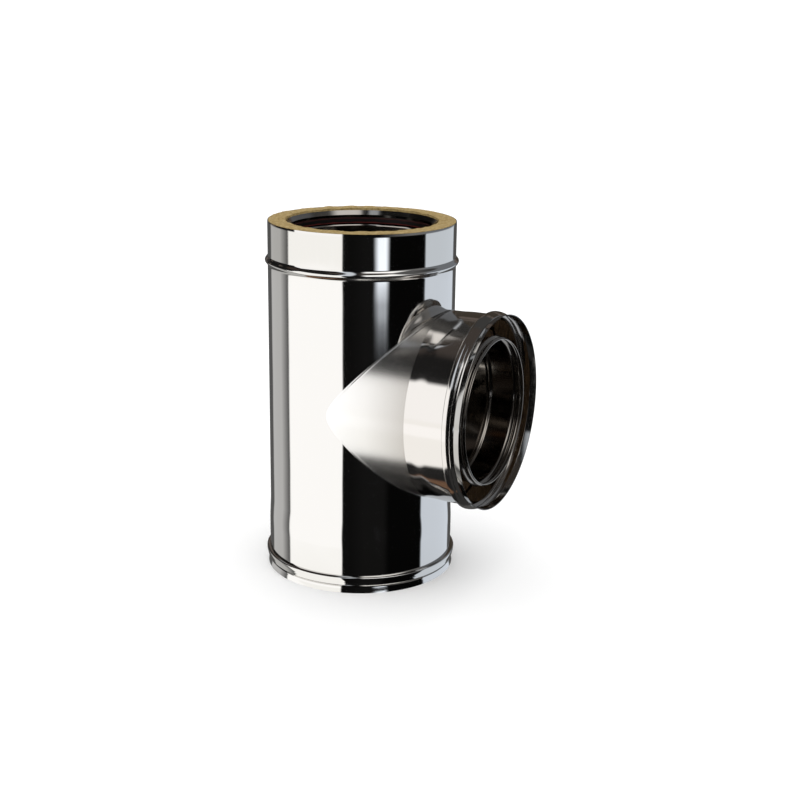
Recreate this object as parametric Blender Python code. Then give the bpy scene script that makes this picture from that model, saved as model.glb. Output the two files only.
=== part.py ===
"""Twin-wall stove pipe tee: a bright stainless jacket over a liner, with mineral wool between them.

The body stands on its socket with its plain end up. The branch leaves it square, towards +X.
The origin lies under the middle of the whole tee, at the level of the foot.
"""

import math

import bmesh
import bpy
from mathutils import Matrix, Vector

for item in list(bpy.data.objects):
    bpy.data.objects.remove(item, do_unlink=True)

mm = 0.001

# Main sizes
flue_bore = 150 * mm
jacket_diameter = 200 * mm
body_height = 382 * mm
branch_height = 193.5 * mm

# Sheet and fits
jacket_gauge = 0.6 * mm
liner_gauge = 0.6 * mm
socket_depth = 42 * mm
slip_fit = 0.3 * mm
liner_slip_fit = 0.5 * mm
seat_gap = 0.3 * mm

# Plain end of the jacket, with the bead that stops the next pipe's socket
stop_bead_height = 9.4 * mm
stop_bead_proud = 3.0 * mm

# Socket of the jacket: rim, locking bead, wall and the swage where it narrows to the pipe
rim_height = 8.7 * mm
rim_flare = 1.9 * mm
rim_step = 1.0 * mm
lock_bead_height = 9.8 * mm
lock_bead_proud = 3.9 * mm
socket_spare = 8 * mm
swage_length = 5 * mm

# Socket of the liner: lip, seal bead, wall and shoulder
liner_recess = 2 * mm
branch_liner_recess = 4.5 * mm
lip_height = 4.5 * mm
lip_step = 0.9 * mm
lip_flare = 1.7 * mm
seal_bead_height = 8.6 * mm
seal_bead_proud = 3.6 * mm
liner_socket_depth = 40 * mm
shoulder_length = 3 * mm
spigot_rise = 2 * mm
spigot_taper_length = 4 * mm
spigot_taper = 0.5 * mm

# Saddle collars: a little narrower than the pipe they sit on, with a flange that lies on it
collar_show = 2.4 * mm
collar_undersize = 0.7 * mm
collar_flange = 1.2 * mm
neck_flange = 2.0 * mm
lap_length = 6.6 * mm
hole_margin = 0.4 * mm

# Mineral wool
wool_joint_angle = math.radians(90)
wool_joint_gap = 0.8 * mm

# Lip seal in the liner's upper socket
seal_height = 4.4 * mm
seal_crown = 2.6 * mm
seal_reach = 1.1 * mm
seal_lip_drop = 3.6 * mm
seal_lip_thickness = 1.0 * mm

# Facets round a full turn, and along one bead
TURN = 44
BEAD = 4

jacket_radius = jacket_diameter / 2
jacket_bore = jacket_radius - jacket_gauge
swage_top = socket_depth + socket_spare + swage_length
branch_reach = jacket_radius + collar_show + lap_length + swage_top
liner_radius = flue_bore / 2 + liner_gauge
socket_radius = jacket_radius + slip_fit + jacket_gauge
liner_socket_radius = liner_radius + liner_slip_fit + liner_gauge


def paint(name, colour, metallic, roughness):
    """A Principled material in one colour."""
    material = bpy.data.materials.new(name)
    material.use_nodes = True
    shader = material.node_tree.nodes["Principled BSDF"]
    shader.inputs["Base Color"].default_value = (*colour, 1)
    shader.inputs["Metallic"].default_value = metallic
    shader.inputs["Roughness"].default_value = roughness
    return material


bright_steel = paint("bright stainless steel", (0.62, 0.61, 0.60), 1.0, 0.06)
satin_steel = paint("satin stainless steel", (0.60, 0.60, 0.59), 1.0, 0.30)
mineral_wool = paint("mineral wool", (0.50, 0.40, 0.20), 0.0, 0.95)
red_silicone = paint("red silicone", (0.42, 0.04, 0.03), 0.0, 0.45)


def axis_empty(name, place, parent=None, turn=0.0):
    """An empty whose local Z is an axis that pieces are turned about."""
    empty = bpy.data.objects.new(name, None)
    bpy.context.collection.objects.link(empty)
    empty.parent = parent
    empty.location = place
    empty.rotation_euler = (0, turn, 0)
    return empty


# The body's widest ring and the branch's mouth give the tee its length
body_reach = socket_radius + lock_bead_proud
body_axis = axis_empty("body_axis", ((body_reach - branch_reach) / 2, 0, 0))
branch_axis = axis_empty("branch_axis", (0, 0, branch_height), body_axis, math.pi / 2)


def add_piece(name, mesh_maker, material, axis):
    """One object from a bmesh, closed with its faces pointing out, on its axis."""
    bmesh.ops.recalc_face_normals(mesh_maker, faces=mesh_maker.faces)
    mesh = bpy.data.meshes.new(name)
    mesh_maker.to_mesh(mesh)
    mesh_maker.free()
    mesh.shade_smooth()
    mesh.set_sharp_from_angle(angle=math.radians(35))
    piece = bpy.data.objects.new(name, mesh)
    bpy.context.collection.objects.link(piece)
    piece.data.materials.append(material)
    piece.parent = axis
    return piece


def turned(name, outline, material, axis, start=0.0, sweep=2 * math.pi):
    """A closed outline of (radius, height) points, spun about the axis."""
    maker = bmesh.new()
    full = math.isclose(sweep, 2 * math.pi)
    corners = []
    for radius, height in outline:
        place = (radius * math.cos(start), radius * math.sin(start), height)
        corners.append(maker.verts.new(place))
    face = maker.faces.new(corners)
    if full:
        edges = list(face.edges)
        bmesh.ops.delete(maker, geom=[face], context="FACES_ONLY")
        moving = corners + edges
    else:
        moving = [face]
    bmesh.ops.spin(
        maker, geom=moving, cent=(0, 0, 0), axis=(0, 0, 1), angle=sweep, steps=TURN, use_merge=full
    )
    return add_piece(name, maker, material, axis)


def bead(radius, middle, height, proud):
    """The outside of a rolled bead: a bell curve that leaves the wall and meets it without a kink."""
    points = []
    for step in range(BEAD + 1):
        along = 1 - 2 * step / BEAD
        swell = (1 + math.cos(math.pi * along)) / 2
        points.append((radius + proud * swell, middle + height / 2 * along))
    return points


def sheet(outside, gauge):
    """The closed section of a sheet wall, from its outside points listed downwards."""
    inside = []
    for index, (radius, height) in enumerate(outside):
        here = Vector((radius, height))
        before = Vector(outside[max(index - 1, 0)])
        after = Vector(outside[min(index + 1, len(outside) - 1)])
        arriving = (here - before if index else after - here).normalized()
        leaving = (after - here if index < len(outside) - 1 else here - before).normalized()
        bend = (arriving + leaving).normalized()
        inward = Vector((bend.y, -bend.x))
        inside.append(tuple(here + inward * gauge / bend.dot(arriving)))
    return outside + inside[::-1]


def jacket_socket(foot, direction):
    """The outside of a jacket socket from its swage to its rim, for a mouth at foot."""
    lock_middle = rim_height + lock_bead_height / 2
    points = [(socket_radius, socket_depth + socket_spare)]
    points += bead(socket_radius, lock_middle, lock_bead_height, lock_bead_proud)
    points += [
        (socket_radius + rim_flare, rim_height - rim_step),
        (socket_radius + rim_flare, 0),
    ]
    return [(radius, foot + direction * depth) for radius, depth in points]


def liner_socket(mouth):
    """The outside of a liner socket from its lip down to its shoulder."""
    bead_middle = lip_height + seal_bead_height / 2
    points = [(liner_socket_radius + lip_flare, 0), (liner_socket_radius + lip_step, lip_height)]
    rolled = bead(liner_socket_radius, -bead_middle, seal_bead_height, seal_bead_proud)
    points += [(radius, -height) for radius, height in rolled][1:]
    points.append((liner_socket_radius, liner_socket_depth))
    return [(radius, mouth - depth) for radius, depth in points]


def rod(name, radius, start, end, axis):
    """A hidden round cutter along its axis."""
    maker = bmesh.new()
    bmesh.ops.create_cone(
        maker,
        cap_ends=True,
        segments=TURN,
        radius1=radius,
        radius2=radius,
        depth=end - start,
        matrix=Matrix.Translation((0, 0, (start + end) / 2)),
    )
    cutter = add_piece(name, maker, bright_steel, axis)
    cutter.hide_render = True
    cutter.display_type = "WIRE"
    return cutter


def cut(piece, cutter):
    """Takes a cutter's shape out of a piece."""
    boolean = piece.modifiers.new(cutter.name, "BOOLEAN")
    boolean.operation = "DIFFERENCE"
    boolean.object = cutter


def saddle_collar(name, pipe_radius, radius, gauge, flange, end, material):
    """A tube that is trimmed to sit on a pipe, with a narrow flange turned out along the pipe.

    Each ring of points goes once round the branch axis. The saddle line is where a cylinder of the
    collar's radius meets one of the pipe's, and the flange follows it at a fixed width.
    """
    under = pipe_radius + seat_gap
    over = under + gauge

    def on_pipe(angle, tube, height):
        """The angle round the pipe and the place along it of a point on the saddle line."""
        return math.asin(tube * math.cos(angle) / height), tube * math.sin(angle)

    def local(round_pipe, along, distance):
        """A point beside the pipe, in the branch axis's own frame."""
        return (-along, distance * math.sin(round_pipe), distance * math.cos(round_pipe))

    def flange_edge(angle, distance):
        """The saddle line's point, moved out along the pipe's wall by the flange's width."""
        nudge = 0.001
        ahead = on_pipe(angle + nudge, radius, over)
        behind = on_pipe(angle - nudge, radius, over)
        tangent = Vector(((ahead[0] - behind[0]) * over, ahead[1] - behind[1])).normalized()
        round_pipe, along = on_pipe(angle, radius, over)
        round_pipe += flange * tangent.y / over
        along -= flange * tangent.x
        return local(round_pipe, along, distance)

    maker = bmesh.new()
    rings = [[] for _ in range(6)]
    for step in range(TURN):
        angle = 2 * math.pi * step / TURN
        outer, inner = radius, radius - gauge
        places = [
            flange_edge(angle, over),
            local(*on_pipe(angle, outer, over), over),
            (-outer * math.sin(angle), outer * math.cos(angle), end),
            (-inner * math.sin(angle), inner * math.cos(angle), end),
            local(*on_pipe(angle, inner, under), under),
            flange_edge(angle, under),
        ]
        for ring, place in zip(rings, places):
            ring.append(maker.verts.new(place))
    for index, ring in enumerate(rings):
        beside = rings[(index + 1) % len(rings)]
        for step in range(TURN):
            after = (step + 1) % TURN
            maker.faces.new([ring[step], ring[after], beside[after], beside[step]])
    return add_piece(name, maker, material, branch_axis)


# Outer jacket: plain end, stop bead, straight wall and socket, with the branch hole
stop_bead_middle = body_height - socket_depth
jacket_outside = [(jacket_radius, body_height)]
jacket_outside += bead(jacket_radius, stop_bead_middle, stop_bead_height, stop_bead_proud)
jacket_outside.append((jacket_radius, swage_top))
jacket_outside += jacket_socket(0, 1)
outer_jacket = turned("outer_jacket", sheet(jacket_outside, jacket_gauge), bright_steel, body_axis)

collar_radius = jacket_radius - collar_undersize
jacket_hole = collar_radius - jacket_gauge - hole_margin
cut(outer_jacket, rod("jacket_hole", jacket_hole, 0, branch_reach, branch_axis))

# Branch end ring: slips over the collar's end and carries the same socket as the foot
ring_radius = collar_radius + seat_gap + jacket_gauge
ring_swage = branch_reach - swage_top
ring_start = ring_swage - lap_length
ring_outside = [(ring_radius, ring_start), (ring_radius, ring_swage)]
ring_outside += jacket_socket(branch_reach, -1)
ring_section = sheet([(radius, -place) for radius, place in ring_outside], jacket_gauge)
ring_section = [(radius, -place) for radius, place in ring_section]
turned("branch_end_ring", ring_section, bright_steel, branch_axis)

# Branch collar: satin, trimmed to the jacket
collar_end = ring_swage - seat_gap
saddle_collar(
    "branch_collar", jacket_radius, collar_radius, jacket_gauge, collar_flange, collar_end, satin_steel
)

# Inner liner: socket with a seal bead at the top, spigot at the foot, and its own branch hole
liner_top = body_height - liner_recess
shoulder_end = liner_socket_depth + shoulder_length
liner_outside = liner_socket(liner_top)
liner_outside += [
    (liner_radius, liner_top - shoulder_end),
    (liner_radius, spigot_rise + spigot_taper_length),
    (liner_radius - spigot_taper, spigot_rise),
]
inner_liner = turned("inner_liner", sheet(liner_outside, liner_gauge), bright_steel, body_axis)

neck_radius = liner_radius - collar_undersize
liner_hole = neck_radius - liner_gauge - hole_margin
cut(inner_liner, rod("liner_hole", liner_hole, 0, branch_reach, branch_axis))

# Liner branch socket: slips over the neck's end
neck_lap_radius = neck_radius + seat_gap + liner_gauge
branch_liner_mouth = branch_reach - branch_liner_recess
neck_lap_end = branch_liner_mouth - shoulder_end
liner_ring_outside = liner_socket(branch_liner_mouth)
liner_ring_outside += [
    (neck_lap_radius, neck_lap_end),
    (neck_lap_radius, neck_lap_end - lap_length),
]
liner_ring_section = sheet(liner_ring_outside, liner_gauge)
turned("liner_branch_socket", liner_ring_section, bright_steel, branch_axis)

# Liner branch neck: trimmed to the liner inside the wool
neck_end = neck_lap_end - seat_gap
saddle_collar(
    "liner_branch_neck", liner_radius, neck_radius, liner_gauge, neck_flange, neck_end, bright_steel
)

# Wool blanket: wrapped round the liner, its two ends butted at one joint
wool_outer = jacket_bore - seat_gap
wool_mouth = liner_socket_radius + seal_bead_proud + seat_gap
wool_socket = liner_socket_radius + seat_gap
wool_bore = liner_radius + seat_gap
seal_zone = liner_top - lip_height - seal_bead_height - seat_gap
shoulder_zone = liner_top - shoulder_end
blanket_outline = [
    (wool_outer, body_height),
    (wool_outer, socket_depth),
    (wool_bore, socket_depth),
    (wool_bore, shoulder_zone - shoulder_length),
    (wool_socket, shoulder_zone),
    (wool_socket, seal_zone),
    (wool_mouth, seal_zone),
    (wool_mouth, body_height),
]
joint_turn = wool_joint_gap / wool_bore
wool_blanket = turned(
    "wool_blanket",
    blanket_outline,
    mineral_wool,
    body_axis,
    wool_joint_angle + joint_turn / 2,
    2 * math.pi - joint_turn,
)
wool_hole = neck_radius + neck_flange + seat_gap
cut(wool_blanket, rod("wool_hole", wool_hole, 0, branch_reach, branch_axis))

# Wool sleeve: fills the branch out to the depth of its socket
sleeve_outer = jacket_hole - hole_margin
sleeve_end = branch_reach - socket_depth
sleeve_outline = [
    (sleeve_outer, sleeve_end),
    (sleeve_outer, 0),
    (neck_radius + seat_gap, 0),
    (neck_radius + seat_gap, neck_lap_end - lap_length - seat_gap),
    (neck_lap_radius + seat_gap, neck_lap_end - lap_length - seat_gap),
    (neck_lap_radius + seat_gap, neck_lap_end - seat_gap),
    (liner_socket_radius + seat_gap, neck_lap_end + shoulder_length - seat_gap),
    (liner_socket_radius + seat_gap, sleeve_end),
]
wool_sleeve = turned("wool_sleeve", sleeve_outline, mineral_wool, branch_axis)
cut(wool_sleeve, rod("blanket_space", wool_outer + seat_gap, 0, body_height, body_axis))

# Lip seal: sits in the liner's upper seal bead and leans inwards and down
seal_middle = liner_top - lip_height - seal_bead_height / 2
seal_back = liner_socket_radius + seal_bead_proud - liner_gauge - seat_gap
seal_bore = liner_radius + slip_fit
seal_outline = [
    (seal_back, seal_middle),
    (seal_back - seal_crown, seal_middle - seal_height / 2),
    (seal_bore, seal_middle - seal_height / 2),
    (seal_bore - seal_reach, seal_middle - seal_height / 2 - seal_lip_drop),
    (seal_bore - seal_reach, seal_middle - seal_height / 2 - seal_lip_drop + seal_lip_thickness),
    (seal_bore, seal_middle + seal_height / 2),
    (seal_back - seal_crown, seal_middle + seal_height / 2),
]
turned("top_seal", seal_outline, red_silicone, body_axis)
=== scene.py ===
"""Twin-wall stove pipe tee: a bright jacket over packed mineral wool over a bright liner."""

import math

import bmesh
import bpy
import numpy as np
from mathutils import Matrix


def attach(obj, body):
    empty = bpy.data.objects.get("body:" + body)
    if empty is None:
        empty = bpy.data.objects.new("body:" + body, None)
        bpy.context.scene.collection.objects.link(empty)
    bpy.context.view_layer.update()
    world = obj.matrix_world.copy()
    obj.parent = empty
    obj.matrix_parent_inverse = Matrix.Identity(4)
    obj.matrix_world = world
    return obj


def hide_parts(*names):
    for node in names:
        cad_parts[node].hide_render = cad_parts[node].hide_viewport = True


# The welded tee as it leaves the bench: nine parts that never come apart again.
# It stands on its socket, and its branch leaves the body square, towards +X.
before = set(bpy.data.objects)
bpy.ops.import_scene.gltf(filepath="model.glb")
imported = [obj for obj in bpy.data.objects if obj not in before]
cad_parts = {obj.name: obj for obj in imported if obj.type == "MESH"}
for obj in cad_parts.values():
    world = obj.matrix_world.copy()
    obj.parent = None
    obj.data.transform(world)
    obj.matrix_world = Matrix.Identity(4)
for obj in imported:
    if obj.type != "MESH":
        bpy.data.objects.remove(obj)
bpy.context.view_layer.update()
mm = 0.001


# Outer jacket: one sheet of bright annealed stainless steel, 0.6 mm thick, rolled to a tube and
# seam welded at the back. Rollers pressed the stop bead near its plain end, and swaged the foot
# out to a socket with a locking bead and a rim. The branch hole was sawn and dressed.
body_x = -29.6 * mm
branch_z = 193.5 * mm
gauge = 0.6 * mm
jacket_radius = 100 * mm
jacket_top = 382 * mm
jacket_hole = 98.3 * mm
jacket_hole_room = 103 * mm
rim_curl = 0.25 * mm
rim_curl_height = 3 * mm
stop_bead_top = 345.5 * mm
stop_bead_foot = 334.7 * mm
stop_bead_proud = 3.0 * mm
foot_swage_top = 78 * mm
foot_swage_end = 49.4 * mm
socket_radius = 100.9 * mm
socket_wall_end = 49 * mm
lock_crest = 17.2 * mm
lock_rise = 1.6 * mm
lock_proud = 3.7 * mm
lock_turn = 14 * mm
mark_spread = 0.09
weld_proud = 0.16 * mm
weld_half_width = math.radians(1.3)
straight = 0.4 * mm
HOLE_STEPS = 144
BACK_STEPS = 240


def on_body(radius, angle, height):
    """Places round the body's axis: radius times cosine and sine of the angle from the branch."""
    return np.stack([body_x + radius * np.cos(angle), radius * np.sin(angle), height], -1)


def rolled_bead(radius, high, low, proud, steps=20):
    """The outside of a bead: half of one less a cosine, from nothing to its crest and back."""
    down = np.linspace(0, 1, steps + 1)
    swell = (1 - np.cos(2 * np.pi * down)) / 2
    return np.stack([radius + proud * swell, high + (low - high) * down], -1)


def swage(start, end, steps=8):
    """A drawn change of radius: half a cosine wave between two points of the outline."""
    along = np.linspace(0, 1, steps + 1)
    ease = (1 - np.cos(np.pi * along)) / 2
    (radius, height), (next_radius, next_height) = start, end
    return np.stack(
        [radius + (next_radius - radius) * ease, height + (next_height - height) * along], -1
    )


def sheet_section(outside, thickness):
    """The inside of a sheet wall, its points in order: the outside moved in by the thickness.

    Each point moves along the mean of its two edges' normals, further at a sharper corner, up to
    two and a half times the thickness.
    """
    edges = np.diff(outside, axis=0)
    edges /= np.linalg.norm(edges, axis=1)[:, None]
    arriving = np.vstack([edges[:1], edges])
    leaving = np.vstack([edges, edges[-1:]])
    bend = arriving + leaving
    bend /= np.linalg.norm(bend, axis=1)[:, None]
    across = np.stack([bend[:, 1], -bend[:, 0]], -1)
    share = np.maximum((bend * arriving).sum(1), 0.4)
    return outside + across * (thickness / share)[:, None]


def grid_faces(rows, columns, closed_rows=True, closed_columns=True, start=0):
    """Quads between neighbouring points of a grid, joined round where a direction is closed."""
    row = np.arange(rows if closed_rows else rows - 1)[:, None]
    column = np.arange(columns if closed_columns else columns - 1)[None, :]
    below = (row + 1) % rows
    right = (column + 1) % columns
    corners = [
        row * columns + column,
        row * columns + right,
        below * columns + right,
        below * columns + column,
    ]
    return np.stack(corners, -1).reshape(-1, 4) + start


def clean_mesh(name, places, faces):
    """A mesh from points and faces, with its doubles merged and its faces turned outwards."""
    mesh = bpy.data.meshes.new(name)
    mesh.from_pydata(np.reshape(places, (-1, 3)).tolist(), [], [list(face) for face in faces])
    maker = bmesh.new()
    maker.from_mesh(mesh)
    bmesh.ops.remove_doubles(maker, verts=maker.verts, dist=1e-6)
    bmesh.ops.recalc_face_normals(maker, faces=maker.faces)
    maker.to_mesh(mesh)
    maker.free()
    return mesh


def add_piece(name, places, faces, material, node, slot, crease=30):
    """A finished piece in place of a node: smooth but for creases in degrees, riding on the tee."""
    mesh = clean_mesh(name, places, faces)
    mesh.shade_smooth()
    mesh.set_sharp_from_angle(angle=math.radians(crease))
    mesh.materials.append(material)
    piece = bpy.data.objects.new(name, mesh)
    bpy.context.scene.collection.objects.link(piece)
    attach(piece, "root")
    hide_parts(node)
    return piece


def holed_pipe(above, below, wall, hole):
    """A sheet pipe with a round side hole between the outlines above and below it.

    The hole's edge is where a cylinder of radius hole, along the branch, meets the pipe: at an
    angle B round the branch the pipe's own angle is the arc sine of hole times cosine B over the
    pipe's radius, and the height is hole times sine B over or under the branch's axis. Behind the
    hole the columns widen and narrow again as a cosine. Two rows of points follow the edge, one
    over and one under it, and they fall together where the wall is whole.
    """
    turn = np.linspace(0, np.pi, HOLE_STEPS + 1)
    spread = (1 - np.cos(np.pi * np.arange(1, BACK_STEPS) / BACK_STEPS)) / 2
    rise = np.concatenate([hole * np.sin(turn), np.zeros(BACK_STEPS - 1)])

    def columns(radius):
        flank = np.arcsin(hole * np.cos(turn) / radius)
        behind = -flank[0] - 2 * (np.pi - flank[0]) * spread
        return np.concatenate([flank, behind])

    outside = np.vstack([above, below])
    break_row = len(above) - 1
    inside = sheet_section(outside, wall)
    outer, inner = outside[break_row][0], inside[break_row][0]
    rows = []
    for line, radius in ((outside, outer), (inside[::-1], inner)):
        before = break_row + 1 if line is outside else len(outside) - break_row - 1
        edge = [(radius, branch_z + rise), (radius, branch_z - rise)]
        if line is not outside:
            edge = edge[::-1]
        rows += [on_body(r, columns(outer), z + 0 * rise) for r, z in line[:before]]
        rows += [on_body(radius, columns(radius), height) for _, height in edge]
        rows += [on_body(r, columns(outer), z + 0 * rise) for r, z in line[before:]]
    count = rise.size
    upper, under = break_row + 1, 2 * len(outside) - break_row + 1
    faces = grid_faces(len(rows), count).reshape(len(rows), count, 4)
    faces = np.delete(faces, (upper, under), axis=0).reshape(-1, 4)
    step = np.arange(HOLE_STEPS)
    for over, beneath in ((upper, under + 1), (upper + 1, under)):
        bridge = [over * count + step, over * count + step + 1]
        bridge += [beneath * count + step + 1, beneath * count + step]
        faces = np.vstack([faces, np.stack(bridge, -1)])
    return np.array(rows), faces


def linear(code):
    """An sRGB hex colour as linear red, green, blue and full alpha."""
    coded = np.array([int(code[i : i + 2], 16) for i in (1, 3, 5)]) / 255
    values = np.where(coded <= 0.04045, coded / 12.92, ((coded + 0.055) / 1.055) ** 2.4)
    return (*values.tolist(), 1.0)


def add_node(tree, kind, inputs=None, stops=None, **settings):
    """Adds a node: its settings, its ramp's stops, then its inputs as values or as links."""
    made = tree.nodes.new(kind)
    for key, value in settings.items():
        setattr(made, key, value)
    if stops:
        ramp = made.color_ramp
        while len(ramp.elements) < len(stops):
            ramp.elements.new(1.0)
        for element, (place, colour) in zip(ramp.elements, stops):
            element.position = place
            element.color = colour if len(colour) == 4 else (*colour, 1.0)
    for key, value in (inputs or {}).items():
        if isinstance(value, bpy.types.NodeSocket):
            tree.links.new(value, made.inputs[key])
        else:
            made.inputs[key].default_value = value
    return made


def new_finish(name):
    """A new material, with its node tree, its shader and the place that its patterns read."""
    material = bpy.data.materials.new(name)
    material.use_nodes = True
    tree = material.node_tree
    place = add_node(tree, "ShaderNodeTexCoord").outputs["Object"]
    return material, tree, tree.nodes["Principled BSDF"], place


wave_length = 62.5 * mm


def stainless(name, colour, roughness, spread, grain, ripple):
    """A stainless finish: rolling streaks in its gloss and slow ripples in its sheet.

    The grain gives the streaks' scale along X, Y and Z in cycles a metre: 260 is 4 mm wide and 4
    is 250 mm long. The ripple is the height of waves, one wave length long, that bend the edges
    of what the sheet mirrors.
    """
    material, tree, shader, place = new_finish(name)
    grained = add_node(tree, "ShaderNodeMapping", {"Vector": place, "Scale": grain})
    streaks = add_node(
        tree, "ShaderNodeTexNoise", {"Vector": grained.outputs[0], "Scale": 1.0, "Detail": 3.0}
    )
    gloss = add_node(
        tree,
        "ShaderNodeMapRange",
        {
            "Value": streaks.outputs[0],
            "From Min": 0.3,
            "From Max": 0.7,
            "To Min": roughness - spread,
            "To Max": roughness + spread,
        },
    )
    waves = add_node(
        tree, "ShaderNodeTexNoise", {"Vector": place, "Scale": 1 / wave_length, "Detail": 1.0}
    )
    bump = add_node(
        tree,
        "ShaderNodeBump",
        {"Height": waves.outputs[0], "Strength": 1.0, "Distance": ripple},
    )
    shader.inputs["Base Color"].default_value = linear(colour)
    shader.inputs["Metallic"].default_value = 1.0
    tree.links.new(gloss.outputs[0], shader.inputs["Roughness"])
    tree.links.new(bump.outputs[0], shader.inputs["Normal"])
    return material


# Bright annealed stainless sheet, cold rolled against polished rolls: it mirrors like dark glass,
# with faint upright rolling streaks and slow ripples that only a straight reflection gives away.
bright_sheet = stainless("bright_annealed_sheet", "#D6D4D1", 0.05, 0.02, (260, 260, 4), 0.3 * mm)


def jacket_socket(lean, groove, rim, mark):
    """The outside of a jacket socket, from its wall to its mouth, as radius and depth.

    The locking bead stands out with a quarter of an ellipse on the wall's side, turns over on a
    wide arc and slopes back as a straight cone, leaning by some degrees, to the groove. A faint
    rolling mark stands halfway down the cone as a bell curve. The rim's own points follow.
    """
    lean = math.radians(lean)
    rise = np.linspace(0, np.pi / 2, 15)[:, None]
    steep = np.hstack([
        socket_radius + lock_proud * np.sin(rise), lock_crest + lock_rise * np.cos(rise)
    ])
    over = np.linspace(0, lean, 9)[1:, None]
    turned = np.hstack([
        socket_radius + lock_proud - lock_turn * (1 - np.cos(over)),
        lock_crest - lock_turn * np.sin(over),
    ])
    radius, depth = turned[-1]
    back = np.linspace(0, 1, 25)[1:, None]
    along = depth + (groove - depth) * back
    bell = mark * np.exp(-(((back - 0.5) / mark_spread) ** 2))
    cone = np.hstack([radius - (depth - along) * math.tan(lean) + bell, along])
    wall = [(socket_radius, socket_wall_end), (socket_radius, lock_crest + lock_rise + straight)]
    return np.vstack([wall, steep, turned, cone, rim])


curl = np.linspace(0, 1, 5)[:, None]
jacket_upper = np.vstack([
    np.hstack([jacket_radius - rim_curl * (1 - curl) ** 2, jacket_top - rim_curl_height * curl]),
    [(jacket_radius, jacket_top - rim_curl_height - straight)],
    [(jacket_radius, stop_bead_top + straight)],
    rolled_bead(jacket_radius, stop_bead_top, stop_bead_foot, stop_bead_proud),
    [(jacket_radius, stop_bead_foot - straight), (jacket_radius, branch_z + jacket_hole_room)],
])
foot_rim = np.array([
    (101.35, 7.6), (101.3, 7.3), (102.1, 6.8), (102.15, 6.6), (102.15, 4.7), (102.2, 4.4),
    (102.8, 0),
]) * mm
jacket_lower = np.vstack([
    [(jacket_radius, branch_z - jacket_hole_room), (jacket_radius, foot_swage_top + straight)],
    swage((jacket_radius, foot_swage_top), (socket_radius, foot_swage_end), 16),
    jacket_socket(lean=13, groove=9.3 * mm, rim=foot_rim, mark=0.02 * mm),
])
jacket_places, jacket_faces = holed_pipe(jacket_upper, jacket_lower, gauge, jacket_hole)
across = jacket_places[..., :2] - (body_x, 0)
behind_tee = np.arctan2(across[..., 1], -across[..., 0])
weld = np.clip(1 - np.abs(behind_tee) / weld_half_width, 0, 1)
jacket_places[..., :2] += across * (weld * weld_proud / jacket_radius)[..., None]
add_piece(
    "jacket_shell", jacket_places, jacket_faces, bright_sheet, "outer_jacket", "bright_steel"
)


# Branch collar: satin stainless sheet, rolled to a tube a little narrower than the jacket and
# trimmed to a V that lies on it. A narrow turned edge was pressed down and brazed all round, and
# the heat was brushed off afterwards, which leaves this piece duller than its neighbours.
collar_radius = 99.3 * mm
collar_end = 108.7 * mm
ring_start = 102.4 * mm
seat_gap = 0.3 * mm
ROUND = 320


def on_branch(radius, angle, reach):
    """Places round the branch's axis: radius times cosine and sine, and reach out from the body."""
    across = radius * np.cos(angle) + 0 * reach
    return np.stack([body_x + reach + 0 * across, across, branch_z + radius * np.sin(angle)], -1)


def saddle_tube(pipe, radius, wall, flange, end, bend, limit):
    """A tube trimmed to sit on a pipe, as rows of points round the branch.

    On the saddle line the pipe's angle is the arc sine of radius times cosine over the pipe's
    radius, and the height is radius times sine. The turned edge is that line moved out along the
    pipe, square to itself, by the flange's width. A curve with its corner on the line joins the
    edge to the tube: it starts two fifths of the way out on the edge, and ends on the tube at the
    bend's length, or at the limit from the body where that comes first. One more row a fiftieth
    of the way on keeps the bend's shading off the tube.
    """
    turn = 2 * np.pi * np.arange(ROUND) / ROUND
    under = pipe + seat_gap
    over = under + wall

    def line(tube, height, out):
        round_pipe = np.arcsin(tube * np.cos(turn) / height)
        along = tube * np.sin(turn)
        slope = -tube * np.sin(turn) / np.sqrt(height**2 - (tube * np.cos(turn)) ** 2) * height
        rate = np.stack([slope, tube * np.cos(turn)], -1)
        rate /= np.linalg.norm(rate, axis=1)[:, None]
        round_pipe = round_pipe + out * rate[:, 1] / height
        along = along - out * rate[:, 0]
        return on_body(height, round_pipe, branch_z + along)

    corner = line(radius, over, 0)
    run = np.minimum(bend, limit - (corner[:, 0] - body_x))
    lying = line(radius, over, 0.4 * flange)
    standing = corner + np.stack([run, 0 * run, 0 * run], -1)
    rows = [line(radius, under, flange), line(radius, over, flange)]
    for share in np.linspace(0, 1, 8):
        rows.append(
            (1 - share) ** 2 * lying + 2 * share * (1 - share) * corner + share**2 * standing
        )
    nearly = standing + (on_branch(radius, turn, end) - standing) * 0.02
    rows += [nearly, on_branch(radius, turn, end - straight), on_branch(radius, turn, end)]
    rows += [on_branch(radius - wall, turn, end), line(radius - wall, under, 0)]
    return np.array(rows), grid_faces(len(rows), ROUND)


# Satin stainless, brushed by hand round the branch with a fine pad: its reflections are soft
# gradients with no edges, drawn out along the tube, and it looks a shade whiter than the sheet.
satin_sheet = stainless("brushed_satin_sheet", "#CBC9C6", 0.25, 0.012, (60, 500, 500), 0.2 * mm)


def tone_along_branch(material, start, end, stops):
    """Turn a steel's colour along the branch, from one X to another, by hex colours at shares."""
    tree = material.node_tree
    place = add_node(tree, "ShaderNodeTexCoord").outputs["Object"]
    across = add_node(tree, "ShaderNodeSeparateXYZ", {"Vector": place}).outputs["X"]
    run = add_node(
        tree, "ShaderNodeMapRange", {"Value": across, "From Min": start, "From Max": end}
    )
    tone = add_node(
        tree,
        "ShaderNodeValToRGB",
        {"Fac": run.outputs[0]},
        stops=[(share, linear(code)) for share, code in stops],
    )
    tree.links.new(tone.outputs[0], tree.nodes["Principled BSDF"].inputs["Base Color"])


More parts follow.
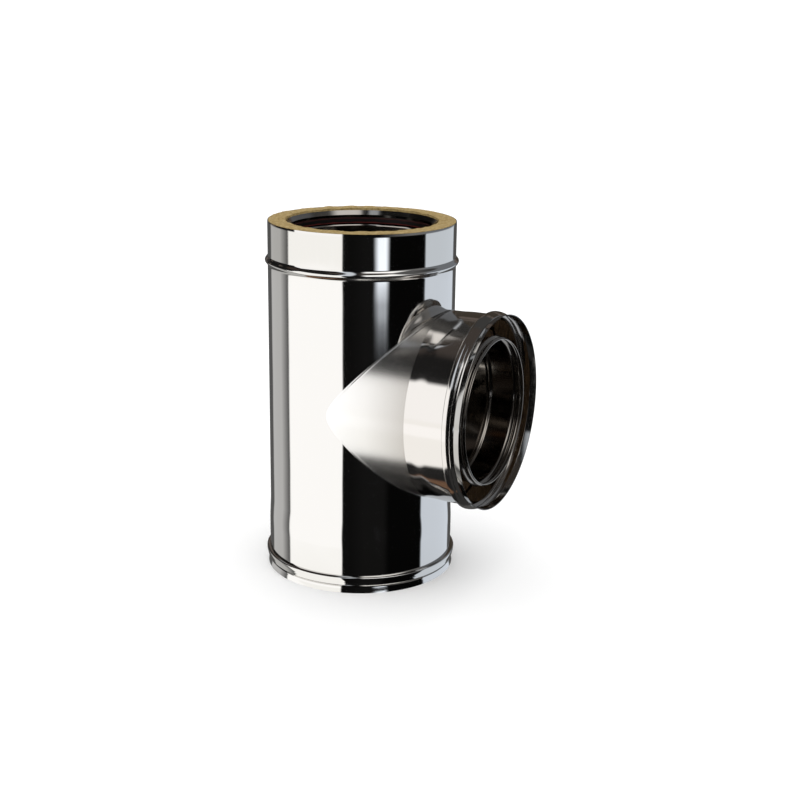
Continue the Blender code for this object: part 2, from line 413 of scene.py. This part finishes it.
# Painted shade: the colour is lightest at the V and darkens towards the ring, where the collar
# mirrors greyer.
tone_along_branch(
    satin_sheet, -10 * mm, 73 * mm, [(0.0, "#E6E5E4"), (0.45, "#DAD8D5"), (1.0, "#B7B3AE")]
)
collar = saddle_tube(
    jacket_radius,
    collar_radius,
    gauge,
    flange=1.2 * mm,
    end=collar_end,
    bend=2.5 * mm,
    limit=ring_start - 0.1 * mm,
)
add_piece("collar_saddle", *collar, satin_sheet, "branch_collar", "satin_steel")


# Branch end ring: the same bright sheet and the same rollers as the foot's socket, slipped over
# the end of the collar and welded to it out of sight. It takes the next pipe's plain end.
branch_reach = 164 * mm
ring_radius = 100.2 * mm
ring_swage_start = 56 * mm
ring_swage_end = 40 * mm


def turned_wall(section):
    """A closed wall turned about the branch, from its section as radius and reach."""
    turn = 2 * np.pi * np.arange(ROUND)[None, :] / ROUND
    places = on_branch(section[:, :1], turn, section[:, 1:])
    return places, grid_faces(len(section), ROUND)


def closed_section(outside, wall):
    """The outside of a sheet wall, then its inside on the way back."""
    return np.vstack([outside, sheet_section(outside, wall)[::-1]])


ring_depth = branch_reach - ring_start
flared_rim = np.array([
    (101.15, 6.3), (101.25, 6.0), (101.35, 5.7), (102.65, 0.6), (102.75, 0.2), (102.6, 0.0)
]) * mm
ring_section = closed_section(
    np.vstack([
        [(ring_radius, ring_depth), (ring_radius, ring_depth - straight)],
        swage((ring_radius, ring_swage_start), (socket_radius, ring_swage_end), 12),
        jacket_socket(lean=20, groove=6.9 * mm, rim=flared_rim, mark=0.07 * mm)[1:],
    ]),
    gauge,
)
ring_section[:, 1] = branch_reach - ring_section[:, 1]

# The same bright annealed sheet, turned and handled more: its mirror is a little softer. From past
# the groove its rim is painted greyer, as painted shade that dims the band it mirrors.
ring_sheet = stainless("bright_annealed_ring", "#D4D0CC", 0.09, 0.02, (4, 260, 260), 0.22 * mm)
tone_along_branch(ring_sheet, 127.3 * mm, 128.3 * mm, [(0.0, "#D4D0CC"), (1.0, "#ABA9A6")])
add_piece("end_ring", *turned_wall(ring_section), ring_sheet, "branch_end_ring", "bright_steel")


# Inner liner: the flue itself, bright stainless sheet 0.6 mm thick. Its top is rolled to a socket
# with a bead that holds the seal, and its foot is a plain spigot, eased in at the very end.
liner_radius = 75.6 * mm
liner_socket_radius = 76.7 * mm
liner_hole = 73.9 * mm
liner_hole_room = 78 * mm
liner_top = 380 * mm
liner_socket_depth = 40 * mm
shoulder = 3 * mm
lip_radius = 80.3 * mm
lip_root = 77.6 * mm
top_bead_near = 4.5 * mm
top_bead_far = 17 * mm
top_bead_proud = 3.6 * mm
spigot_taper = 0.5 * mm

top_bead = rolled_bead(
    liner_socket_radius,
    liner_top - top_bead_near,
    liner_top - top_bead_far,
    top_bead_proud,
    steps=24,
)
liner_upper = np.vstack([
    np.linspace((lip_radius, liner_top), (lip_root, liner_top - top_bead_near), 9),
    top_bead[5:],
    [(liner_socket_radius, liner_top - top_bead_far - straight)],
    [(liner_socket_radius, liner_top - liner_socket_depth + straight)],
    swage(
        (liner_socket_radius, liner_top - liner_socket_depth),
        (liner_radius, liner_top - liner_socket_depth - shoulder),
        6,
    ),
    [(liner_radius, liner_top - liner_socket_depth - shoulder - straight)],
    [(liner_radius, branch_z + liner_hole_room)],
])
liner_lower = np.array([
    (liner_radius, branch_z - liner_hole_room),
    (liner_radius, 6 * mm + straight),
    (liner_radius, 6 * mm),
    (liner_radius - 0.2 * spigot_taper, 5 * mm),
    (liner_radius - spigot_taper, 2 * mm),
])
liner_places, liner_faces = holed_pipe(liner_upper, liner_lower, gauge, liner_hole)

# Bright flue sheet, rolled but not polished: a darker mirror with softer edges, darker still as
# painted shade.
liner_sheet = stainless("bright_flue_sheet", "#9C9791", 0.12, 0.03, (260, 260, 4), 0.1 * mm)
add_piece("flue_liner", liner_places, liner_faces, liner_sheet, "inner_liner", "liner_steel")


# Liner branch neck: the liner's own saddle tube, of the same flue sheet, welded all round inside
# the wool. Only its bore shows, through the branch's mouth.
neck_radius = 74.9 * mm
neck = saddle_tube(
    liner_radius,
    neck_radius,
    gauge,
    flange=2.0 * mm,
    end=116.2 * mm,
    bend=3.0 * mm,
    limit=100 * mm,
)

# The flue sheet again, with its rolling streaks along the branch, painted darker and browner:
# painted shade inside the branch and a painted reflection of the wool round it.
neck_sheet = stainless("bright_neck_sheet", "#8C867F", 0.13, 0.03, (4, 260, 260), 0.1 * mm)
add_piece("flue_neck", *neck, neck_sheet, "liner_branch_neck", "liner_steel")


# Liner branch socket: the flue's end in the branch, lapped over the neck. Its edge is rolled to a
# stiff hem, a little inside the jacket's rim, with a seal bead behind it and a shallow ring pressed
# in where it meets the neck.
mouth = 159.5 * mm
hem_width = 4.2 * mm
hem_proud = 1.9 * mm
branch_bead_near = 4.8 * mm
branch_bead_far = 12.4 * mm
branch_bead_proud = 3.2 * mm
branch_socket_end = 123 * mm
throat_radius = 74.6 * mm
throat = 119.8 * mm
lap_radius = 75.8 * mm
lap_start = 116.8 * mm
lap_end = 109.9 * mm
branch_bead = rolled_bead(
    liner_socket_radius,
    mouth - branch_bead_near,
    mouth - branch_bead_far,
    branch_bead_proud,
    steps=24,
)
spout_outside = np.vstack([
    rolled_bead(liner_socket_radius, mouth, mouth - hem_width, hem_proud),
    [(liner_socket_radius, mouth - (hem_width + branch_bead_near) / 2)],
    branch_bead,
    [(liner_socket_radius, mouth - branch_bead_far - straight)],
    [(liner_socket_radius, branch_socket_end + straight)],
    swage((liner_socket_radius, branch_socket_end), (throat_radius, throat)),
    swage((throat_radius, throat), (lap_radius, lap_start))[1:],
    [(lap_radius, lap_start - 0.3 * mm), (lap_radius, lap_end)],
])
spout = turned_wall(closed_section(spout_outside, gauge))
# Its finish carries the neck's painted shade and painted brown reflection of the wool.
add_piece("flue_spout", *spout, neck_sheet, "liner_branch_socket", "liner_steel")


# Wool blanket: a strip of golden mineral wool, packed round the liner before the jacket went on
# and butted to one joint at the back. Its end was cut flush with a knife, which leaves it felted,
# a little proud in places and ragged at the flue's edge.
wool_outer = 98.9 * mm
wool_bore = 75.9 * mm
wool_edge = 81.0 * mm
wool_top = 382 * mm
wool_lift = 0.3 * mm
wool_swell = 0.4 * mm
wool_ragged = 0.6 * mm
joint = math.radians(90)
joint_gap = 0.8 * mm / wool_bore
RINGS = 600
WAVES = 40


def felt(across, along, longest, shortest, seed):
    """Felted unevenness, mostly within one of nought: sine waves in directions drawn from a seed.

    Each wave is as high as the square root of its length, as a share of the longest.
    """
    draw = np.random.default_rng(seed)
    heading = draw.uniform(0, np.pi, WAVES)
    length = longest * (shortest / longest) ** draw.uniform(0, 1, WAVES)
    phase = draw.uniform(0, 2 * np.pi, WAVES)
    ride = across[..., None] * np.cos(heading) + along[..., None] * np.sin(heading)
    waves = np.sin(2 * np.pi * ride / length + phase) * np.sqrt(length / longest)
    return waves.sum(-1) / np.sqrt(length / longest).sum() * 4


def wool_material(name, shades, scale):
    """Felted mineral wool: shades of one gold, mottled a few millimetres wide, with a dull nap."""
    material, tree, shader, place = new_finish(name)
    mottle = add_node(
        tree,
        "ShaderNodeTexNoise",
        {"Vector": place, "Scale": scale, "Detail": 6.0, "Roughness": 0.7},
    )
    tint = add_node(
        tree,
        "ShaderNodeValToRGB",
        {"Fac": mottle.outputs[0]},
        stops=[(0.32, linear(shades[0])), (0.5, linear(shades[1])), (0.68, linear(shades[2]))],
    )
    fibres = add_node(
        tree,
        "ShaderNodeTexNoise",
        {"Vector": place, "Scale": 900.0, "Detail": 4.0, "Roughness": 0.8, "Distortion": 1.5},
    )
    nap = add_node(
        tree,
        "ShaderNodeBump",
        {"Height": fibres.outputs[0], "Strength": 0.9, "Distance": 0.6 * mm},
    )
    tree.links.new(tint.outputs[0], shader.inputs["Base Color"])
    tree.links.new(nap.outputs[0], shader.inputs["Normal"])
    shader.inputs["Roughness"].default_value = 0.95
    shader.inputs["Specular IOR Level"].default_value = 0.15
    return material


# Rock wool bound with a little resin, cut across its layers: a dull gold with paler and browner
# flecks two or three millimetres wide, and a nap of fibre ends.
wool_gold = wool_material("felted_mineral_wool", ("#7F6A42", "#A08959", "#B3A075"), 320.0)

joint_turns = np.linspace(joint + joint_gap / 2, joint + 2 * np.pi - joint_gap / 2, RINGS)
inset = np.linspace(0, 1, 20)
blanket_side = np.array([(99.1, 42), (99.1, 372), (98.9, 380.5)]) * mm
blanket_end = np.stack([wool_outer + (wool_edge - wool_outer) * inset, wool_top + 0 * inset], -1)
blanket_bore = np.array([
    (80.9, 378), (80.6, 362.6), (77.0, 362.6), (77.0, 337), (75.9, 334), (75.9, 42), (82, 42),
    (90, 42),
]) * mm
blanket_section = np.vstack([blanket_side, blanket_end, blanket_bore])
radius = blanket_section[:, :1] + 0 * joint_turns
height = blanket_section[:, 1:] + 0 * joint_turns
swell = felt(radius * np.cos(joint_turns), radius * np.sin(joint_turns), 26 * mm, 1.6 * mm, 11)
ragged = felt(joint_turns * 80 * mm, 0 * joint_turns, 9 * mm, 1.2 * mm, 12)
cut_end = slice(len(blanket_side), len(blanket_side) + len(inset))
height[cut_end] += wool_lift + wool_swell * swell[cut_end]
radius[cut_end] += inset[:, None] ** 6 * np.maximum(ragged, -0.6) * wool_ragged
blanket_places = on_body(radius, joint_turns[None, :], height)
blanket_faces = grid_faces(len(blanket_section), RINGS, closed_columns=False).tolist()
ends = np.arange(len(blanket_section)) * RINGS
blanket_faces += [ends.tolist(), (ends[::-1] + RINGS - 1).tolist()]
blanket = add_piece(
    "wool_wrap", blanket_places, blanket_faces, wool_gold, "wool_blanket", "mineral_wool", 60
)


def cut_round(piece, hole, end):
    """Takes a round hole along the branch out of a closed piece, and leaves no cutter behind."""
    sides = 128
    turn = 2 * np.pi * np.arange(sides)[None, :] / sides
    reach = np.array([[0.0], [end]])
    places = on_branch(hole + 0 * reach, turn, reach)
    faces = grid_faces(2, sides, closed_rows=False).tolist()
    faces += [list(range(sides)), list(range(sides, 2 * sides))]
    mesh = clean_mesh("hole_cutter", places, faces)
    cutter = bpy.data.objects.new("hole_cutter", mesh)
    bpy.context.scene.collection.objects.link(cutter)
    boolean = piece.modifiers.new("hole", "BOOLEAN")
    boolean.operation = "DIFFERENCE"
    boolean.object = cutter
    shapes = bpy.context.evaluated_depsgraph_get()
    whole = piece.data
    piece.data = bpy.data.meshes.new_from_object(piece.evaluated_get(shapes))
    piece.modifiers.clear()
    bpy.data.objects.remove(cutter)
    bpy.data.meshes.remove(whole)


cut_round(blanket, 77.2 * mm, branch_reach)


def strands(starts, headings, lengths, bows, seed):
    """Loose fibres: thin three-sided strands from their starts, tapered and bowed as an arc.

    Along a strand its side step is its bow times its share squared. Its corners stand 0.05 to
    0.11 mm off its middle, drawn from the seed, and close in to a fifth of that.
    """
    draw = np.random.default_rng(seed)
    count, rows, sides = len(starts), 5, 3
    share = np.linspace(0, 1, rows)
    side = np.stack([-headings[:, 1], headings[:, 0], 0.4 * headings[:, 2]], -1)
    run = starts[:, None] + headings[:, None] * (lengths[:, None] * share)[..., None]
    run = run + side[:, None] * (bows[:, None] * share**2)[..., None]
    thick = draw.uniform(0.05, 0.11, count)[:, None] * mm * (1 - 0.8 * share)
    up = np.array([0.0, 0.0, 1.0])
    corners = []
    for turn in 2 * np.pi * np.arange(sides) / sides:
        out = side * math.cos(turn) + up * math.sin(turn)
        corners.append(run + out[:, None] * thick[..., None])
    places = np.stack(corners, 2).reshape(-1, 3)
    points = rows * sides
    faces = []
    for first in range(0, count * points, points):
        last = first + points - 1
        faces += grid_faces(rows, sides, closed_rows=False, start=first).tolist()
        faces += [[first, first + 1, first + 2], [last, last - 1, last - 2]]
    return places, faces


# Loose fibres of the blanket: ends that the knife pulled up, most of them at the bore's edge and
# along the jacket, lying nearly flat.
FIBRES = 900
draw = np.random.default_rng(31)
fibre_turn = draw.uniform(0, 2 * np.pi, FIBRES)
at_bore = draw.uniform(0, 1, FIBRES) < 0.5
fibre_radius = mm * np.where(
    at_bore, draw.normal(82.6, 0.7, FIBRES), draw.uniform(83, 98.6, FIBRES)
)
fibre_starts = on_body(fibre_radius, fibre_turn, wool_top + draw.uniform(-0.2, 0.5, FIBRES) * mm)
fibre_heading = draw.uniform(0, 2 * np.pi, FIBRES)
fibre_rise = draw.uniform(-0.05, 0.3, FIBRES)
fibre_headings = np.stack([np.cos(fibre_heading), np.sin(fibre_heading), fibre_rise], -1)
fibre_lengths = draw.uniform(0.8, 2.6, FIBRES) * mm
fibre_bows = draw.uniform(-0.6, 0.6, FIBRES) * mm
fuzz_places, fuzz_faces = strands(fibre_starts, fibre_headings, fibre_lengths, fibre_bows, 32)
add_piece("wool_fibres", fuzz_places, fuzz_faces, wool_gold, "wool_blanket", "mineral_wool", 60)


# Wool sleeve: a shorter strip of the same wool round the liner's neck, pushed in until it meets the
# blanket. Its end closes the gap at the bottom of the branch's socket.
sleeve_outer = 97.9 * mm
sleeve_bore = 75.2 * mm
sleeve_lip = 77.0 * mm
sleeve_end = 122 * mm
sleeve_swell = 0.9 * mm
sleeve_seat = 99.4 * mm
SLEEVE_ROUND = 480

sleeve_turn = 2 * np.pi * np.arange(SLEEVE_ROUND) / SLEEVE_ROUND
sleeve_face = np.linspace(sleeve_outer, sleeve_lip, 16)[:, None]
sleeve_swells = felt(
    sleeve_face * np.cos(sleeve_turn), sleeve_face * np.sin(sleeve_turn), 16 * mm, 2.5 * mm, 21
)
sleeve_lap = np.array([(77.0, 119), (76.1, 116.2), (76.1, 109.6), (75.2, 109.6)]) * mm
sleeve_root = np.linspace(sleeve_bore, sleeve_outer, 8)[:, None]
sleeve_trim = np.sqrt(sleeve_seat**2 - (sleeve_root * np.cos(sleeve_turn)) ** 2)
sleeve_places = np.concatenate([
    on_branch(sleeve_face, sleeve_turn, sleeve_end + sleeve_swell * sleeve_swells),
    on_branch(sleeve_lap[:, :1], sleeve_turn, sleeve_lap[:, 1:]),
    on_branch(sleeve_root, sleeve_turn, sleeve_trim),
])
sleeve_faces = grid_faces(len(sleeve_places), SLEEVE_ROUND)

# The same wool, painted dark brown as painted shade deep in the socket, with a mottle four
# millimetres wide.
wool_shaded_brown = wool_material("shaded_mineral_wool", ("#281E15", "#3F3122", "#5A482F"), 260.0)
add_piece(
    "wool_stub", sleeve_places, sleeve_faces, wool_shaded_brown, "wool_sleeve", "mineral_wool", 60
)


# Top seal: a moulded ring of red silicone rubber that sits in the liner's bead. Its lip leans in
# and down, and wipes the spigot of the next pipe.
seal_middle = 370.2 * mm
seal_outside = np.array([
    (79.4, 0.0), (79.0, -1.6), (77.6, -2.3), (76.3, -2.4), (75.2, -3.4), (75.2, -2.6),
    (75.9, 0.0), (76.2, 2.2), (77.6, 2.3), (79.0, 1.6),
]) * mm
seal_turn = 2 * np.pi * np.arange(240) / 240
seal_heights = seal_middle + seal_outside[:, 1:]
seal_places = on_body(seal_outside[:, :1], seal_turn, seal_heights + 0 * seal_turn)
seal_faces = grid_faces(len(seal_outside), len(seal_turn))

# Red silicone rubber, painted darker: dark red at its foot and its top edge, and nearly black
# between them in an uneven line, as painted shade in the bead's groove.
seal_rubber, seal_tree, seal_shader, seal_place = new_finish("red_silicone_rubber")
seal_shade_noise = add_node(
    seal_tree, "ShaderNodeTexNoise", {"Vector": seal_place, "Scale": 140.0, "Detail": 4.0}
)
seal_split = add_node(seal_tree, "ShaderNodeSeparateXYZ", {"Vector": seal_place})
seal_level = add_node(
    seal_tree,
    "ShaderNodeMapRange",
    {
        "Value": seal_split.outputs["Z"],
        "From Min": seal_heights.min(),
        "From Max": seal_heights.max(),
    },
)
# Painted shade: where the seal turns from dark red to near black, unevenly.
seal_shade_share = add_node(
    seal_tree,
    "ShaderNodeMath",
    {0: seal_shade_noise.outputs[0], 1: 0.3, 2: seal_level.outputs[0]},
    operation="MULTIPLY_ADD",
)
seal_tint = add_node(
    seal_tree,
    "ShaderNodeValToRGB",
    {"Fac": seal_shade_share.outputs[0]},
    stops=[
        (0.22, linear("#4E1613")),
        (0.40, linear("#0A0504")),
        (0.88, linear("#0A0504")),
        (1.00, linear("#2C0D0B")),
    ],
)
seal_tree.links.new(seal_tint.outputs[0], seal_shader.inputs["Base Color"])
seal_shader.inputs["Roughness"].default_value = 0.5
seal_shader.inputs["Specular IOR Level"].default_value = 0.15
add_piece("lip_seal", seal_places, seal_faces, seal_rubber, "top_seal", "red_silicone")


# Floor: a pale matt sheet that runs far past the tee on all sides and takes its soft shadow.
# Polished steel doesn't mirror it, because in the studio the floor near the tee is cut away.
floor_reach = 60.0
floor_corners = [
    (x * floor_reach, y * floor_reach, 0) for x, y in ((-1, -1), (1, -1), (1, 1), (-1, 1))
]
floor_mesh = bpy.data.meshes.new("floor")
floor_mesh.from_pydata(floor_corners, [], [(0, 1, 2, 3)])
floor = bpy.data.objects.new("floor", floor_mesh)
bpy.context.scene.collection.objects.link(floor)
floor.visible_glossy = False
floor_paper = bpy.data.materials.new("pale_matt_paper")
floor_paper.use_nodes = True
paper_shader = floor_paper.node_tree.nodes["Principled BSDF"]
paper_shader.inputs["Base Color"].default_value = linear("#FFFFFF")
paper_shader.inputs["Roughness"].default_value = 1.0
paper_shader.inputs["Specular IOR Level"].default_value = 0.0
floor_mesh.materials.append(floor_paper)


# Studio: an even soft white light from all round, and for the polished steel the lamps and dark
# screens that it mirrors, each as a band of directions round the tee.
world = bpy.data.worlds.new("studio")
bpy.context.scene.world = world
world.use_nodes = True
sky = world.node_tree
sky.nodes.clear()
toward_camera = math.radians(-61.48)
heading = add_node(sky, "ShaderNodeTexCoord").outputs["Generated"]
faced = add_node(sky, "ShaderNodeMapping", {"Vector": heading, "Rotation": (0, 0, -toward_camera)})
compass = add_node(
    sky, "ShaderNodeTexGradient", {"Vector": faced.outputs[0]}, gradient_type="RADIAL"
)
split = add_node(sky, "ShaderNodeSeparateXYZ", {"Vector": heading})
cloud = add_node(sky, "ShaderNodeTexNoise", {"Vector": heading, "Scale": 5.0, "Detail": 1.0})
flecks = add_node(
    sky, "ShaderNodeMapRange", {"Value": cloud.outputs[0], "From Min": 0.57, "From Max": 0.6}
)


def bands(*edges):
    """Stops of a ramp round the tee: each band from its start in degrees, with a soft edge."""
    stops = []
    for start, edge, colour in edges:
        colour = colour if isinstance(colour, tuple) else (colour, colour, colour)
        if stops:
            stops.append((max((start - edge) / 360 + 0.5, stops[-1][0]), stops[-1][1]))
        stops.append(((start + edge) / 360 + 0.5 if stops else 0.0, colour))
    return stops


def sine(degrees):
    """The height of a unit direction at an angle over the level."""
    return math.sin(math.radians(degrees))


# Rings of lamps and screens round the tee: four of colours, one for each height, and four that
# say where a layer lies. Angles are counted from the camera's side.
rings = {
    "level": bands(
        (-180, 0, 0.055), (-144, 2, 0.31), (-109, 8, 0.055), (-100, 0.6, 0.72), (-23, 0.5, 0.003),
        (-4, 8, 0.0045), (32, 4, 0.0012), (82, 0.8, (0.40, 0.435, 0.485)), (146, 1.5, 0.05),
    ),
    "strip": bands((-180, 0, 0.0), (16.8, 3.2, 1.0), (30.9, 2.4, 0.0)),
    "middle": bands(
        (-180, 0, (0.032, 0.03, 0.029)), (-150, 6, 0.006), (-88, 0.8, 0.69), (-23, 0.6, 0.003),
        (40, 20, 0.10), (84, 3, (0.10, 0.107, 0.118)), (150, 3, (0.03, 0.025, 0.02)),
    ),
    "high": bands(
        (-180, 0, (0.03, 0.025, 0.02)), (-156, 3, (0.20, 0.21, 0.22)),
        (-142, 2, (0.03, 0.022, 0.018)), (-105, 10, 0.008), (-34, 2, (0.40, 0.43, 0.47)),
        (-14, 3, 0.008), (2, 4, 0.76), (58, 8, 0.06), (95, 10, 0.03), (150, 5, 0.03),
    ),
    "low": bands((-180, 0, 0.01), (-140, 5, (0.10, 0.058, 0.036)), (-108, 4, 0.01), (-20, 8, 0.02)),
    "behind": bands((-180, 0, 1.0), (-125, 8, 0.0), (150, 4, 1.0)),
    "front": bands((-180, 0, 0.0), (0, 4, 1.0), (70, 6, 0.0)),
    "overhead": bands((-180, 0, 1.0), (-40, 4, 0.0), (-6, 4, 1.0)),
}
for name, stops in rings.items():
    ring = add_node(sky, "ShaderNodeValToRGB", {"Fac": compass.outputs[0]}, stops=stops)
    rings[name] = ring.outputs[0]

# Soft steps over a range of heights in degrees: nothing at the first angle, all at the second.
steps = {
    "fade": (-16.8, -11),
    "strip": (-8.3, -8.9),
    "dim_low": (-24, -21.8),
    "dim_high": (-10.6, -11),
    "middle": (-7, -4),
    "early": (17, 26),
    "high": (33, 37),
    "overhead": (59, 64),
    "low": (-56, -53),
}
for name, (nothing, everything) in steps.items():
    rise = {"From Min": sine(nothing), "From Max": sine(everything)}
    step = add_node(sky, "ShaderNodeMapRange", {"Value": split.outputs["Z"], **rise})
    steps[name] = step.outputs[0]
fade_stops = ((0.3, 0.0), (0.55, 0.1), (0.74, 0.2), (0.86, 0.56), (0.96, 1.0))
fade = add_node(
    sky,
    "ShaderNodeValToRGB",
    {"Fac": steps["fade"]},
    stops=[(place, (share, share, share)) for place, share in fade_stops],
)

# How much of each layer shows in a direction: its ring, its steps and its flecks, multiplied.
shares = {
    "strip": (rings["strip"], fade.outputs[0], steps["strip"]),
    "flecks": (flecks.outputs[0], rings["behind"]),
    "dim": (steps["dim_low"], steps["dim_high"]),
    "early": (rings["front"], steps["early"]),
    "overhead": (rings["overhead"], steps["overhead"]),
}
for name, (share, *factors) in shares.items():
    for factor in factors:
        product = add_node(sky, "ShaderNodeMath", {0: share, 1: factor}, operation="MULTIPLY")
        share = product.outputs[0]
    shares[name] = share
upper = add_node(
    sky, "ShaderNodeMath", {0: steps["high"], 1: shares["early"]}, operation="MAXIMUM"
)

# The sky, layer on layer: each has its share, what shows at none of it and what shows at all of
# it, where None is the sky so far. Only glossy rays see it: the tee is lit by a plain white.
layers = {
    "wall": (shares["strip"], rings["level"], (0.80, 0.86, 0.95, 1.0)),
    "above": (shares["flecks"], rings["middle"], (0.075, 0.062, 0.055, 1.0)),
}
for name, (share, under, over) in layers.items():
    layer = add_node(sky, "ShaderNodeMix", {0: share, 6: under, 7: over}, data_type="RGBA")
    layers[name] = layer.outputs[2]
dimmed = add_node(
    sky,
    "ShaderNodeMix",
    {0: 1.0, 6: layers["wall"], 7: (0.92, 0.918, 0.9, 1.0)},
    data_type="RGBA",
    blend_type="MULTIPLY",
)
ray = add_node(sky, "ShaderNodeLightPath")
plain = (0.62, 0.62, 0.62, 1.0)
lit = layers["wall"]
for share, *sides in (
    (shares["dim"], dimmed.outputs[2], None),
    (steps["middle"], None, layers["above"]),
    (upper.outputs[0], None, rings["high"]),
    (shares["overhead"], None, (0.035, 0.03, 0.027, 1.0)),
    (steps["low"], rings["low"], None),
    (ray.outputs["Is Glossy Ray"], plain, None),
    (ray.outputs["Is Camera Ray"], None, plain),
):
    under, over = [lit if side is None else side for side in sides]
    layer = add_node(sky, "ShaderNodeMix", {0: share, 6: under, 7: over}, data_type="RGBA")
    lit = layer.outputs[2]
glow = add_node(sky, "ShaderNodeBackground", {"Color": lit, "Strength": 2.0})
add_node(sky, "ShaderNodeOutputWorld", {"Surface": glow.outputs[0]})
world.cycles.sampling_method = "NONE"


# Camera: a little over the tee and in front of its branch, on a 61 mm lens, with the slight tilt
# of a hand-set tripod. Its axes are worked out from its bearing, its dip and that tilt.
camera_place = np.array([0.65575, -1.26105, 0.6004])
bearing, dip, tilt = 0.4683, 0.2823, 0.0137
forward = np.array([
    -math.cos(dip) * math.sin(bearing), math.cos(dip) * math.cos(bearing), -math.sin(dip)
])
level_right = np.array([math.cos(bearing), math.sin(bearing), 0.0])
level_up = np.cross(level_right, forward)
right = math.cos(tilt) * level_right + math.sin(tilt) * level_up
up = math.cos(tilt) * level_up - math.sin(tilt) * level_right
pose = np.eye(4)
pose[:3, 0], pose[:3, 1], pose[:3, 2], pose[:3, 3] = right, up, -forward, camera_place
camera_data = bpy.data.cameras.new("camera")
camera_data.lens = 61.39
camera_data.sensor_width = 36.0
camera = bpy.data.objects.new("camera", camera_data)
bpy.context.scene.collection.objects.link(camera)
camera.matrix_world = pose.T.tolist()
bpy.context.scene.camera = camera
bpy.context.scene.view_settings.view_transform = "Standard"
